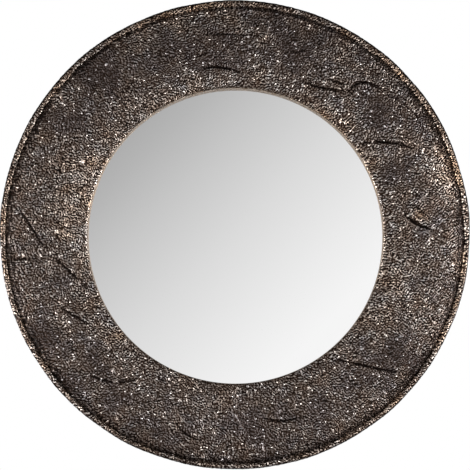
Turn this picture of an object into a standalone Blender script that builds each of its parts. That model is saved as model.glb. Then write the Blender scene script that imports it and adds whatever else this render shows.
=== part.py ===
"""Round wall mirror in a broad cast frame with a bronze patina.

The frame is one ring with a flat back, a swelling face, a groove and a raised bead at its rim. The glass
lies in a rebate behind the frame's sight edge, and a fibreboard disc screwed into a second, wider rebate
holds it there. The mirror hangs by a keyhole plate let into the back of the frame, at the top.

Metres, +Z up. The face looks along -Y and the back lies on the wall, the plane Y = 0. The origin is the
centre of the back.
"""

import math

import bmesh
import bpy
from mathutils import Matrix, Vector, noise

# Frame, seen from the front
OUTER_DIAMETER = 0.800
SIGHT_DIAMETER = 0.508
BEAD_WIDTH = 0.011
GROOVE_WIDTH = 0.0055
LIP_WIDTH = 0.003

# Frame, heights above the wall
BEAD_HEIGHT = 0.0290
GROOVE_HEIGHT = 0.0245
FIELD_EDGE_HEIGHT = 0.0285
FIELD_CROWN_HEIGHT = 0.0340
LIP_HEIGHT = 0.0265
UNDERCUT_HEIGHT = 0.0100
UNDERCUT_DEPTH = 0.004

# Unevenness of the cast face and rim: how far it moves them, and the distance from one swell to the next
BROAD_SWELL = 0.0008
BROAD_SWELL_SPACING = 0.085
SHORT_SWELL = 0.0006
SHORT_SWELL_SPACING = 0.036
RIM_WAVER = 0.0012
RIM_WAVER_SPACING = 0.070

# Glass and backing board
GLASS_THICKNESS = 0.004
GLASS_OVERLAP = 0.008
GLASS_PLAY = 0.0015
BOARD_THICKNESS = 0.004
BOARD_LEDGE = 0.028
FIT_GAP = 0.0003

# Countersunk screws
BOARD_SCREW_COUNT = 8
SCREW_LENGTH = 0.014
SCREW_DIAMETER = 0.0035
SCREW_HEAD_DIAMETER = 0.007
SCREW_HEAD_SINK = 0.0002

# Keyhole plate and the pocket behind it
KEYHOLE_HEAD_DIAMETER = 0.0105
KEYHOLE_SLOT_WIDTH = 0.0055
KEYHOLE_SLOT_LENGTH = 0.014
PLATE_MARGIN = 0.006
PLATE_LENGTH = 0.070
PLATE_THICKNESS = 0.002
PLATE_CORNER = 0.006
PLATE_SCREW_INSET = 0.008
POCKET_MARGIN = 0.004
POCKET_DEPTH = 0.010

# Facets of the face and round a full turn
FRAME_STEPS = 144
DISC_STEPS = 96
SMALL_STEPS = 12
CORNER_STEPS = 3
FIELD_RINGS = 7
BEAD_STEPS = 4

SHARP_EDGE_DEGREES = 35

# How far a cutter reaches past what it cuts, and how close two points count as level
CUT_THROUGH = 0.002
NEAR = 0.0001

OUTER_RADIUS = OUTER_DIAMETER / 2
SIGHT_RADIUS = SIGHT_DIAMETER / 2
BACK_RADIUS = OUTER_RADIUS - UNDERCUT_DEPTH
BEAD_MIDDLE_RADIUS = OUTER_RADIUS - BEAD_WIDTH / 2
FIELD_OUTER_RADIUS = OUTER_RADIUS - BEAD_WIDTH - GROOVE_WIDTH
FIELD_INNER_RADIUS = SIGHT_RADIUS + LIP_WIDTH

GLASS_RADIUS = SIGHT_RADIUS + GLASS_OVERLAP
GLASS_REBATE_RADIUS = GLASS_RADIUS + GLASS_PLAY
BOARD_REBATE_RADIUS = GLASS_REBATE_RADIUS + BOARD_LEDGE
BOARD_RADIUS = BOARD_REBATE_RADIUS - FIT_GAP
BOARD_REBATE_FLOOR = BOARD_THICKNESS + FIT_GAP
GLASS_BACK = BOARD_REBATE_FLOOR
GLASS_FRONT = GLASS_BACK + GLASS_THICKNESS
GLASS_REBATE_FLOOR = GLASS_FRONT + FIT_GAP

BOARD_SCREW_RADIUS = (GLASS_REBATE_RADIUS + BOARD_RADIUS) / 2
PLATE_CENTRE_Z = (BOARD_REBATE_RADIUS + BACK_RADIUS) / 2
PLATE_HEIGHT = KEYHOLE_HEAD_DIAMETER + KEYHOLE_SLOT_LENGTH + 2 * PLATE_MARGIN
KEYHOLE_ENTRY_Z = PLATE_CENTRE_Z - KEYHOLE_SLOT_LENGTH / 2
KEYHOLE_TOP_Z = PLATE_CENTRE_Z + KEYHOLE_SLOT_LENGTH / 2

BRONZE = ("bronze_patina", (0.090, 0.066, 0.053), 0.85, 0.48)
SILVERED_GLASS = ("silvered_glass", (0.90, 0.91, 0.92), 1.0, 0.02)
FIBREBOARD = ("fibreboard", (0.27, 0.17, 0.10), 0.0, 0.80)
ZINC_STEEL = ("zinc_plated_steel", (0.58, 0.58, 0.60), 1.0, 0.35)


def new_collection(name):
    """A collection linked to the scene."""
    made = bpy.data.collections.new(name)
    bpy.context.scene.collection.children.link(made)
    return made


def clear_scene():
    """Removes whatever the startup file holds."""
    for obj in list(bpy.data.objects):
        bpy.data.objects.remove(obj)


def material(finish):
    """The plain material of a finish, made once."""
    name, colour, metallic, roughness = finish
    made = bpy.data.materials.get(name)
    if made is None:
        made = bpy.data.materials.new(name)
        made.use_nodes = True
        shader = made.node_tree.nodes["Principled BSDF"]
        shader.inputs["Base Color"].default_value = (*colour, 1.0)
        shader.inputs["Metallic"].default_value = metallic
        shader.inputs["Roughness"].default_value = roughness
    return made


def add_object(name, mesh, collection, finish=None):
    """An object of that mesh in that collection."""
    obj = bpy.data.objects.new(name, mesh)
    collection.objects.link(obj)
    if finish and not mesh.materials:
        mesh.materials.append(material(finish))
    return obj


def evaluated_mesh(obj, name):
    """The object's mesh with its modifiers applied."""
    graph = bpy.context.evaluated_depsgraph_get()
    made = bpy.data.meshes.new_from_object(obj.evaluated_get(graph))
    made.name = name
    return made


def turned_mesh(name, outline, steps):
    """A closed body turned about the Y axis.

    outline lists (radius, height above the wall) points. It starts and ends on the axis, or else it is closed
    from its last point back to its first.
    """
    profile = bpy.data.meshes.new(name + "_profile")
    points = [(radius, -height, 0.0) for radius, height in outline]
    edges = [(i, i + 1) for i in range(len(points) - 1)]
    if min(radius for radius, height in outline) > 0:
        edges.append((len(points) - 1, 0))
    profile.from_pydata(points, edges, [])
    lathe = bpy.data.objects.new(name + "_lathe", profile)
    bpy.context.scene.collection.objects.link(lathe)
    screw = lathe.modifiers.new("turn", "SCREW")
    screw.axis = "Y"
    screw.steps = steps
    screw.render_steps = steps
    screw.use_merge_vertices = True
    screw.merge_threshold = 0.00001
    made = evaluated_mesh(lathe, name)
    bpy.data.objects.remove(lathe)
    shape = bmesh.new()
    shape.from_mesh(made)
    bmesh.ops.recalc_face_normals(shape, faces=shape.faces)
    shape.to_mesh(made)
    shape.free()
    return made


def shade(mesh):
    """Smooth shading that breaks at sharp edges."""
    mesh.shade_smooth()
    mesh.set_sharp_from_angle(angle=math.radians(SHARP_EDGE_DEGREES))


def cut(body, cutter):
    """Takes the cutter's shape out of the body."""
    boolean = body.modifiers.new(cutter.name, "BOOLEAN")
    boolean.operation = "DIFFERENCE"
    boolean.solver = "EXACT"
    boolean.object = cutter


def as_cutter(obj):
    """Marks an object as one that only cuts others."""
    obj.hide_render = True
    obj.display_type = "WIRE"
    return obj


def field_height(radius):
    """Height of the swelling face, which falls away towards the lip and the groove."""
    middle = (FIELD_OUTER_RADIUS + FIELD_INNER_RADIUS) / 2
    share = (radius - middle) / (FIELD_OUTER_RADIUS - middle)
    return FIELD_EDGE_HEIGHT + (FIELD_CROWN_HEIGHT - FIELD_EDGE_HEIGHT) * (1 - share**4)


def frame_outline():
    """The frame's section, from the outer back corner over the face to the inner back corner."""
    middle = (FIELD_OUTER_RADIUS + FIELD_INNER_RADIUS) / 2
    half_width = (FIELD_OUTER_RADIUS - FIELD_INNER_RADIUS) / 2
    outline = [(BACK_RADIUS, 0.0), (OUTER_RADIUS, UNDERCUT_HEIGHT)]
    for step in range(BEAD_STEPS + 1):
        turn = math.pi * step / BEAD_STEPS
        radius = BEAD_MIDDLE_RADIUS + BEAD_WIDTH / 2 * math.cos(turn)
        outline.append((radius, GROOVE_HEIGHT + (BEAD_HEIGHT - GROOVE_HEIGHT) * math.sin(turn)))
    for ring in range(FIELD_RINGS + 1):
        # The cosine crowds the rings towards the two edges, where the face is rounder.
        radius = middle + half_width * math.cos(math.pi * ring / FIELD_RINGS)
        outline.append((radius, field_height(radius)))
    outline.append((SIGHT_RADIUS, LIP_HEIGHT))
    outline.append((SIGHT_RADIUS, GLASS_REBATE_FLOOR))
    outline.append((GLASS_REBATE_RADIUS, GLASS_REBATE_FLOOR))
    outline.append((GLASS_REBATE_RADIUS, BOARD_REBATE_FLOOR))
    outline.append((BOARD_REBATE_RADIUS, BOARD_REBATE_FLOOR))
    outline.append((BOARD_REBATE_RADIUS, 0.0))
    return outline


def swell(x, z):
    """How far the face rises or falls at a place on it."""
    broad = noise.noise(Vector((x, z, 0.0)) / BROAD_SWELL_SPACING)
    short = noise.noise(Vector((x, z, 0.0)) / SHORT_SWELL_SPACING)
    return BROAD_SWELL * broad + SHORT_SWELL * short


def waver(x, z):
    """How far the rim moves out or in at a place on it."""
    return RIM_WAVER * noise.noise(Vector((x, z, 0.0)) / RIM_WAVER_SPACING)


def work_face(mesh):
    """Makes the turned face and rim uneven, as cast. The back, the rebates and the sight edge stay true."""
    for vertex in mesh.vertices:
        x, y, z = vertex.co
        radius = math.hypot(x, z)
        if -y > GROOVE_HEIGHT - NEAR and radius > SIGHT_RADIUS + NEAR:
            vertex.co.y -= swell(x, z)
        if -y > NEAR and radius > FIELD_OUTER_RADIUS + NEAR:
            vertex.co.x += waver(x, z) * x / radius
            vertex.co.z += waver(x, z) * z / radius


def screw_outline():
    """A countersunk screw's outline, its head at height 0."""
    head = SCREW_HEAD_DIAMETER / 2
    shank = SCREW_DIAMETER / 2
    return [
        (0.0, 0.0),
        (head, 0.0),
        (shank, head - shank),
        (shank, SCREW_LENGTH - SCREW_DIAMETER),
        (0.0, SCREW_LENGTH),
    ]


def bore_outline():
    """The outline of the hole a screw sits in, a gap wider all round and open behind the head."""
    head = SCREW_HEAD_DIAMETER / 2 + FIT_GAP
    shank = SCREW_DIAMETER / 2 + FIT_GAP
    return [
        (0.0, -CUT_THROUGH),
        (head, -CUT_THROUGH),
        (head, FIT_GAP),
        (shank, FIT_GAP + head - shank),
        (shank, SCREW_LENGTH + FIT_GAP),
        (0.0, SCREW_LENGTH + FIT_GAP),
    ]


def screw_places():
    """Name and place of each screw: the ring that holds the board, then the pair in the keyhole plate."""
    places = []
    for number in range(BOARD_SCREW_COUNT):
        turn = math.tau * (number + 0.5) / BOARD_SCREW_COUNT
        place = Vector((BOARD_SCREW_RADIUS * math.sin(turn), 0.0, BOARD_SCREW_RADIUS * math.cos(turn)))
        places.append((f"board_screw_{number + 1}", place))
    for side, name in ((-1, "plate_screw_left"), (1, "plate_screw_right")):
        places.append((name, Vector((side * (PLATE_LENGTH / 2 - PLATE_SCREW_INSET), 0.0, PLATE_CENTRE_Z))))
    return places


def plate_mesh(name, length, height, corner, back, front):
    """A flat plate with rounded corners, between two heights above the wall, centred where the hanger is."""
    place = Matrix.Translation((0.0, -(front + back) / 2, PLATE_CENTRE_Z))
    size = Matrix.Diagonal((length, front - back, height, 1.0))
    shape = bmesh.new()
    bmesh.ops.create_cube(shape, size=1.0, matrix=place @ size)
    if corner > 0:
        corners = [e for e in shape.edges if abs(e.verts[0].co.y - e.verts[1].co.y) > (front - back) / 2]
        bmesh.ops.bevel(
            shape, geom=corners, offset=corner, segments=CORNER_STEPS, profile=0.5, affect="EDGES"
        )
    made = bpy.data.meshes.new(name)
    shape.to_mesh(made)
    shape.free()
    return made


def disc_mesh(name, diameter, z, back, front, steps):
    """A round disc between two heights above the wall, its axis that far above the mirror's centre."""
    place = Matrix.Translation((0.0, -(front + back) / 2, z)) @ Matrix.Rotation(math.pi / 2, 4, "X")
    shape = bmesh.new()
    bmesh.ops.create_cone(
        shape,
        cap_ends=True,
        segments=steps,
        radius1=diameter / 2,
        radius2=diameter / 2,
        depth=front - back,
        matrix=place,
    )
    made = bpy.data.meshes.new(name)
    shape.to_mesh(made)
    shape.free()
    return made


def keyhole_cutters(collection):
    """Cutters for the plate's keyhole: the round entry, the slot and the slot's round top."""
    back = -CUT_THROUGH
    front = PLATE_THICKNESS + CUT_THROUGH
    meshes = [
        disc_mesh("keyhole_entry", KEYHOLE_HEAD_DIAMETER, KEYHOLE_ENTRY_Z, back, front, SMALL_STEPS),
        plate_mesh("keyhole_slot", KEYHOLE_SLOT_WIDTH, KEYHOLE_SLOT_LENGTH, 0.0, back, front),
        disc_mesh("keyhole_top", KEYHOLE_SLOT_WIDTH, KEYHOLE_TOP_Z, back, front, SMALL_STEPS),
    ]
    return [as_cutter(add_object(mesh.name, mesh, collection)) for mesh in meshes]


def build():
    """Builds every piece, parented to one empty at the centre of the back."""
    clear_scene()
    parts = new_collection("round_wall_mirror")
    cutters = new_collection("cutters")

    frame_mesh = turned_mesh("frame", frame_outline(), FRAME_STEPS)
    work_face(frame_mesh)
    shade(frame_mesh)
    frame = add_object("frame", frame_mesh, parts, BRONZE)

    glass_mesh = disc_mesh("mirror_glass", 2 * GLASS_RADIUS, 0.0, GLASS_BACK, GLASS_FRONT, DISC_STEPS)
    shade(glass_mesh)
    add_object("mirror_glass", glass_mesh, parts, SILVERED_GLASS)

    board_mesh = disc_mesh("backing_board", 2 * BOARD_RADIUS, 0.0, 0.0, BOARD_THICKNESS, DISC_STEPS)
    shade(board_mesh)
    board = add_object("backing_board", board_mesh, parts, FIBREBOARD)

    plate_shape = ("keyhole_plate", PLATE_LENGTH, PLATE_HEIGHT, PLATE_CORNER, 0.0, PLATE_THICKNESS)
    plate = add_object("keyhole_plate", plate_mesh(*plate_shape), parts, ZINC_STEEL)
    for cutter in keyhole_cutters(cutters):
        cut(plate, cutter)

    recess_shape = (
        "plate_recess",
        PLATE_LENGTH + 2 * FIT_GAP,
        PLATE_HEIGHT + 2 * FIT_GAP,
        PLATE_CORNER + FIT_GAP,
        -CUT_THROUGH,
        PLATE_THICKNESS + FIT_GAP,
    )
    cut(frame, as_cutter(add_object("plate_recess", plate_mesh(*recess_shape), cutters)))
    pocket_shape = (
        "screw_head_pocket",
        KEYHOLE_HEAD_DIAMETER + 2 * POCKET_MARGIN,
        KEYHOLE_HEAD_DIAMETER + KEYHOLE_SLOT_LENGTH + 2 * POCKET_MARGIN,
        POCKET_MARGIN,
        PLATE_THICKNESS,
        PLATE_THICKNESS + POCKET_DEPTH,
    )
    cut(frame, as_cutter(add_object("screw_head_pocket", plate_mesh(*pocket_shape), cutters)))

    screw_mesh = turned_mesh("countersunk_screw", screw_outline(), SMALL_STEPS)
    shade(screw_mesh)
    bore_mesh = turned_mesh("screw_bore", bore_outline(), SMALL_STEPS)
    for name, place in screw_places():
        screw = add_object(name, screw_mesh, parts, ZINC_STEEL)
        screw.location = place - Vector((0.0, SCREW_HEAD_SINK, 0.0))
        bore = as_cutter(add_object(name + "_bore", bore_mesh, cutters))
        bore.location = screw.location
        cut(board if name.startswith("board") else plate, bore)
        cut(frame, bore)

    hub = bpy.data.objects.new("round_wall_mirror", None)
    parts.objects.link(hub)
    for obj in list(parts.objects) + list(cutters.objects):
        if obj is not hub:
            obj.parent = hub


build()
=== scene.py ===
"""Round wall mirror: a silvered pane in a broad cast ring with a wrinkled face, patinated like old bronze.

Metres, +Z up. The face looks along -Y and the back lies on the wall, the plane Y = 0. Heights are measured
out from the wall, so a point's height is -Y. Places on the face are millimetres right and up of its centre.
"""

import logging
import math
import random
from collections.abc import Iterator
from dataclasses import dataclass
from enum import Enum

import bmesh
import bpy
from mathutils import Matrix, Vector, kdtree, noise


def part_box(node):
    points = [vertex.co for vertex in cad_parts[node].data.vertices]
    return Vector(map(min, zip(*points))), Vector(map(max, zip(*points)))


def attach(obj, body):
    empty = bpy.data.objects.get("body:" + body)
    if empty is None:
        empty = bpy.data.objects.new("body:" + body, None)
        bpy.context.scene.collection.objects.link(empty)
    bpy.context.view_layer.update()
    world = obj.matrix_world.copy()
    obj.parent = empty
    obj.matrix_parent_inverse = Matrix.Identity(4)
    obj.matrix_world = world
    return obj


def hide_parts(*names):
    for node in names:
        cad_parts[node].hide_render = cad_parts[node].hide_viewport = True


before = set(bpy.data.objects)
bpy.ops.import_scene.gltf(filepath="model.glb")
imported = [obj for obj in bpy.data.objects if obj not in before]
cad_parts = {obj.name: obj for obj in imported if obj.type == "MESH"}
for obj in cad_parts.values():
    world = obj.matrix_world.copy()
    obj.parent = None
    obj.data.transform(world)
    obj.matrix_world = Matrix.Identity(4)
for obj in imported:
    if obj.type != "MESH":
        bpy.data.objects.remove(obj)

LOG = logging.getLogger("round_wall_mirror")
BODY = "root"
MM = 0.001
ORIGIN = Vector((0.0, 0.0, 0.0))
TURN_TO_Y = Matrix.Rotation(math.pi / 2, 4, "X")


class Slot(Enum):
    """The record's material slots."""

    BRONZE = "bronze_patina"
    GLASS = "silvered_glass"
    BOARD = "fibreboard"
    STEEL = "zinc_steel"


class Zone(Enum):
    """The zones of the ring's section, from its back round over the face to the rebates."""

    BACK = 0
    WALL = 1
    BEAD = 2
    GROOVE = 3
    FACE = 4
    LIP = 5
    SIGHT = 6


@dataclass(frozen=True)
class Treatment:
    """How a zone was worked: shares of wrinkle depth, rubbed-back patina and bare metal, and its share of
    painted shade, a darkening of the colour where shade falls.
    """

    wrinkle: float
    rubbed: float = 0.0
    painted_shade: float = 0.0
    bare: float = 0.0


# The third number is painted shade: it darkens the outer wall and the groove where shade falls.
TREATMENTS = {
    Zone.BACK: Treatment(0.0),
    Zone.WALL: Treatment(0.8, 0.0, 0.5),
    Zone.BEAD: Treatment(1.3, 0.65),
    Zone.GROOVE: Treatment(0.5, 0.0, 0.2),
    Zone.FACE: Treatment(1.0),
    Zone.LIP: Treatment(0.8, 0.1, 0.0, 0.05),
    Zone.SIGHT: Treatment(0.0, 0.0, 0.0, 1.0),
}


@dataclass(frozen=True)
class Crease:
    """A fold in the cast face, or a thread of metal on it, along a bow through three places.

    depth is how far its bottom lies below the face, less than zero for a thread. shoulder is how far its
    lower side stands up, shoulder_place times its width away, and far_shoulder is the other side's share.
    """

    start: tuple[float, float]
    middle: tuple[float, float]
    end: tuple[float, float]
    width: float = 1.4
    depth: float = 1.6
    shoulder: float = 0.4
    steps: int = 6
    shoulder_place: float = 1.9
    far_shoulder: float = 0.3

    def points(self) -> list[Vector]:
        """Points along the bow."""
        a, b, c = (Vector(place) for place in (self.start, self.middle, self.end))
        handle = 2 * b - (a + c) / 2
        shares = [i / self.steps for i in range(self.steps + 1)]
        return [a * (1 - t) ** 2 + handle * 2 * t * (1 - t) + c * t**2 for t in shares]

    def rise(self, place: Vector, points: list[Vector]) -> float:
        """How far the crease moves the face.

        Args:
            place: The place on the face.
            points: The crease's own points.

        Returns:
            The rise in millimetres, less than zero in the fold.
        """
        nearest, side, share = math.inf, 0.0, 0.0
        for number, (a, b) in enumerate(zip(points, points[1:])):
            along = b - a
            t = max(0.0, min(1.0, (place - a).dot(along) / along.length_squared))
            away = place - (a + along * t)
            if away.length < nearest:
                nearest = away.length
                side = along.x * away.y - along.y * away.x
                share = (number + t) / self.steps
        fade = math.sin(math.pi * min(1.0, max(0.0, share))) ** 0.5
        fold = -self.depth * math.exp(-((nearest / self.width) ** 2))
        shoulder = self.shoulder * math.exp(
            -(((nearest - self.shoulder_place * self.width) / self.width) ** 2)
        )
        return fade * (fold + (shoulder if side < 0 else self.far_shoulder * shoulder))


@dataclass(frozen=True)
class Nugget:
    """A drop of metal that stands up from the face, round or drawn out like a grain of rice."""

    right: float
    up: float
    length: float
    width: float
    turn: float
    height: float = 0.9

    def share(self, place: Vector) -> float:
        """How far up the nugget a place lies, from 0 at its foot to 1 on top."""
        away = place - Vector((self.right, self.up))
        along = away.x * math.cos(self.turn) + away.y * math.sin(self.turn)
        across = away.y * math.cos(self.turn) - away.x * math.sin(self.turn)
        return max(0.0, 1.0 - (2 * along / self.length) ** 2 - (2 * across / self.width) ** 2)


@dataclass(frozen=True)
class Wear:
    """A round area where handling has rubbed the patina back, or, with an amount below zero, spared it."""

    right: float
    up: float
    spread: float
    amount: float

    def share(self, place: Vector) -> float:
        """The amount at a place, fading outwards."""
        away = (place - Vector((self.right, self.up))).length
        return self.amount * math.exp(-((away / self.spread) ** 2))


# Creases: start, middle and end
CREASES = (
    Crease((-57, 281), (-26, 285), (14, 274), depth=2.2),
    Crease((-53, 341), (-10, 340), (40, 338), depth=1.0),
    Crease((-64, 305), (-53, 307), (-45, 314), depth=1.0),
    Crease((92, 314), (106, 309), (120, 314), depth=1.0),
    Crease((114, 262), (145, 250), (192, 243), depth=2.2),
    Crease((192, 243), (218, 258), (252, 244), depth=2.4),
    Crease((155, 262), (170, 260), (186, 253)),
    Crease((259, 236), (294, 215), (327, 181), depth=0.9),
    Crease((213, 154), (257, 156), (304, 144), depth=2.4),
    Crease((283, 43), (302, 20), (334, 6), 2.0, 2.6, 0.8),
    Crease((290, 48), (304, 47), (331, 26)),
    Crease((-366, 36), (-348, 15), (-321, -30), depth=2.4),
    Crease((-305, -41), (-278, -66), (-250, -93), depth=2.4),
    Crease((-300, -123), (-276, -137), (-246, -156), depth=2.0),
    Crease((-310, 113), (-301, 108), (-293, 103), depth=1.8),
    Crease((-385, -42), (-363, -45), (-337, -44), depth=1.4),
    Crease((-344, 184), (-338, 177), (-335, 166), 1.6, 2.4),
    Crease((-254, 263), (-240, 247), (-226, 229), depth=0.8),
    Crease((-215, 249), (-197, 230), (-178, 209), depth=0.8),
    Crease((-246, -238), (-211, -252), (-164, -246), depth=2.0),
    Crease((-101, -319), (-82, -340), (-55, -351), depth=1.9),
    Crease((47, -310), (74, -318), (123, -309), depth=1.4),
    Crease((170, -212), (222, -225), (278, -238), depth=2.2),
    Crease((268, -98), (281, -114), (290, -136), depth=1.3),
)

# Threads: start, middle and end
THREADS = tuple(
    Crease(*places, width=1.6, depth=-0.85, shoulder=0.0)
    for places in (
        ((336, 155), (341, 149), (340, 142)), ((345, 121), (353, 114), (350, 105)),
        ((355, 99), (360, 96), (364, 91)), ((359, 84), (364, 86), (371, 79)),
        ((351, 88), (357, 76), (366, 71)), ((365, 64), (371, 63), (374, 57)),
        ((347, 136), (351, 134), (355, 129)), ((300, 37), (316, 30), (329, 19)),
        ((303, -4), (322, 2), (339, -7)), ((339, -8), (352, -12), (364, -18)),
        ((320, -22), (328, -12), (334, -3)), ((314, 57), (319, 61), (324, 64)),
        ((352, 65), (365, 63), (371, 55)), ((330, 92), (337, 91), (343, 87)),
        ((352, 99), (362, 92), (370, 80)), ((332, 150), (338, 146), (341, 136)),
        ((263, -109), (273, -98), (283, -117)), ((61, 371), (57, 348), (49, 326)),
        ((262, 161), (276, 159), (289, 155)), ((-291, -47), (-277, -48), (-262, -45)),
        ((-297, 252), (-295, 235), (-291, 218)), ((-258, -183), (-249, -178), (-239, -184)),
        ((-256, -191), (-246, -193), (-234, -183)), ((-100, -299), (-87, -316), (-70, -329)),
        ((-48, -303), (-33, -303), (-31, -326)), ((-2, -303), (4, -313), (15, -333)),
        ((8, -299), (15, -305), (21, -313)),
    )
)

# Nuggets: right, up, length, width and turn
MARKED_NUGGETS = tuple(
    Nugget(*row)
    for row in (
        (214, -195, 9, 7, 0.0), (231, -200, 8, 4, 0.5), (255, -173, 10, 5, 2.2), (299, -160, 9, 4, 2.2),
        (291, -72, 11, 4, 0.3), (280, 10, 8, 3, 1.5), (265, 71, 8, 3, 0.8), (296, 72, 5, 5, 0.0),
        (342, 90, 6, 4, 0.0), (354, -53, 6, 5, 1.5), (281, 269, 13, 7, 2.4), (182, 225, 6, 5, 0.0),
        (167, 267, 8, 4, 0.9), (228, 239, 9, 4, 1.5), (232, 209, 7, 5, 1.5), (187, 191, 9, 4, 1.4),
        (276, 159, 11, 3, -0.2), (25, 320, 9, 5, -0.6), (74, 294, 8, 4, -0.8), (103, 324, 8, 4, 1.4),
        (152, 259, 10, 5, -0.6), (116, 253, 8, 5, 0.0), (-140, 333, 5, 4, 0.0), (-219, 288, 8, 6, 0.6),
        (-253, 210, 7, 4, 1.4), (-259, 125, 9, 7, 0.0), (-278, -85, 9, 5, 1.0), (-293, -119, 6, 4, 0.3),
        (-279, -151, 10, 5, 2.3), (-259, -136, 7, 4, 0.4), (-202, -202, 8, 4, 0.7), (-206, -231, 9, 4, 1.4),
        (-165, -249, 9, 3, 0.8), (-112, -244, 8, 4, 1.4), (-138, -277, 8, 3, 0.5), (-94, -282, 8, 4, 1.2),
        (7, -272, 15, 4, 0.42), (2, -309, 8, 4, 1.5), (11, -330, 8, 4, 0.0), (124, -261, 9, 5, 1.5),
        (231, -292, 6, 4, 0.0),
    )
)

# Which way the wrinkles run, in degrees up from level, at eight places round the ring from its right
LEANS = (18.0, 37.0, 38.0, -42.0, -46.0, -10.0, -53.0, -3.0)

# Worn and spared areas: right, up, spread and amount
WEAR = tuple(
    Wear(*row)
    for row in (
        (311, 31, 13, 0.9), (368, 85, 24, 1.1), (352, 125, 26, 0.9), (-284, 15, 42, 0.4),
        (-283, 72, 34, 0.4), (-250, 115, 36, 0.3), (278, -117, 34, 0.4), (262, -56, 34, 0.4),
        (215, -148, 30, 0.3), (-196, -168, 26, 0.3), (-200, 150, 26, 0.3), (227, 124, 28, 0.3),
        (146, 210, 22, 0.3), (-80, 243, 22, 0.3), (343, -160, 30, 0.35), (379, -48, 24, 0.35),
        (22, 347, 18, 0.3), (48, 275, 18, 0.3), (281, 268, 14, 0.9), (-294, 236, 16, 0.6),
        (-195, -171, 10, 0.6), (276, 110, 20, -0.6), (245, 195, 18, -0.4), (-212, 263, 18, -0.5),
        (-277, 189, 16, -0.5), (-328, 198, 16, -0.6), (-326, -175, 20, -0.6), (-283, -256, 24, -0.5),
        (-237, -217, 24, -0.5), (-195, -279, 24, -0.4), (-125, -350, 30, -0.4), (30, -318, 46, -0.45),
        (128, -300, 36, -0.3), (220, -239, 18, -0.4), (308, -228, 22, -0.5), (-33, 330, 46, -0.5),
        (-235, 285, 46, -0.5), (100, 315, 42, -0.5), (-120, 315, 36, -0.4), (62, 380, 30, -0.4),
        (249, 218, 22, -0.6), (268, -208, 28, -0.6), (-24, 372, 32, 0.6), (-92, 358, 30, 0.5),
        (-158, 336, 26, 0.3), (-322, -188, 26, -0.3),
    )
)


def linear(hex_colour: str) -> tuple[float, float, float, float]:
    """Turns an sRGB hex colour to linear.

    Args:
        hex_colour: Six hex digits after a hash.

    Returns:
        Linear red, green and blue, and an alpha of one.
    """
    shares = [int(hex_colour[i : i + 2], 16) / 255 for i in (1, 3, 5)]
    red, green, blue = [s / 12.92 if s <= 0.04045 else ((s + 0.055) / 1.055) ** 2.4 for s in shares]
    return red, green, blue, 1.0


def per_mm(spacing: float) -> float:
    """The texture scale that spaces a pattern this many millimetres, on coordinates in metres."""
    return 1.0 / (spacing * MM)


def feed(node: bpy.types.Node, sockets: dict) -> None:
    """Feeds a node's inputs.

    Args:
        node: The node.
        sockets: For each input, by name or number, the output that feeds it or its plain value.
    """
    for key, value in sockets.items():
        if isinstance(value, bpy.types.NodeSocket):
            node.id_data.links.new(value, node.inputs[key])
        else:
            node.inputs[key].default_value = value


def add_node(
    tree: bpy.types.NodeTree, kind: str, sockets: dict | None = None, **settings: object
) -> bpy.types.NodeSocket:
    """Adds a shader node with its settings and links.

    Args:
        tree: The node tree that gets the node.
        kind: Blender's name of the node's type, without the ShaderNode that it starts with.
        sockets: What feeds its inputs, as feed() takes it.
        settings: The node's own properties, and for a colour ramp its stops as places and hex colours.

    Returns:
        The first output that the node has in use. Its node attribute leads to the others.
    """
    node = tree.nodes.new("ShaderNode" + kind)
    for place, (share, colour) in enumerate(settings.pop("stops", ())):
        if place == len(node.color_ramp.elements):
            node.color_ramp.elements.new(1.0)
        node.color_ramp.elements[place].position = share
        node.color_ramp.elements[place].color = linear(colour)
    for name, value in settings.items():
        setattr(node, name, value)
    feed(node, sockets or {})
    return next(output for output in node.outputs if output.enabled)


def new_material(name: str) -> tuple[bpy.types.Material, bpy.types.NodeTree, bpy.types.Node]:
    """Makes a material.

    Args:
        name: The material's name.

    Returns:
        The material, its node tree and its Principled shader.
    """
    made = bpy.data.materials.new(name)
    made.use_nodes = True
    return made, made.node_tree, made.node_tree.nodes["Principled BSDF"]


def to_object(name: str, shape: bmesh.types.BMesh, *materials: bpy.types.Material) -> bpy.types.Object:
    """Makes an object of a finished shape.

    Args:
        name: The object's name.
        shape: The shape, which is freed.
        materials: One material for each slot.

    Returns:
        The new object, at the origin.
    """
    mesh = bpy.data.meshes.new(name)
    shape.to_mesh(mesh)
    shape.free()
    for material in materials:
        mesh.materials.append(material)
    obj = bpy.data.objects.new(name, mesh)
    bpy.context.scene.collection.objects.link(obj)
    return obj


def carve(obj: bpy.types.Object, cutters: list[bpy.types.Object]) -> None:
    """Takes the cutters' shapes out of a piece, and removes the cutters.

    Args:
        obj: The piece.
        cutters: The shapes to take out, one after the other.
    """
    for cutter in cutters:
        cut = obj.modifiers.new(cutter.name, "BOOLEAN")
        cut.object = cutter
        cut.solver = "EXACT"
    graph = bpy.context.evaluated_depsgraph_get()
    carved = bpy.data.meshes.new_from_object(obj.evaluated_get(graph))
    obj.modifiers.clear()
    obj.data = carved
    for cutter in cutters:
        bpy.data.objects.remove(cutter)


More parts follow.
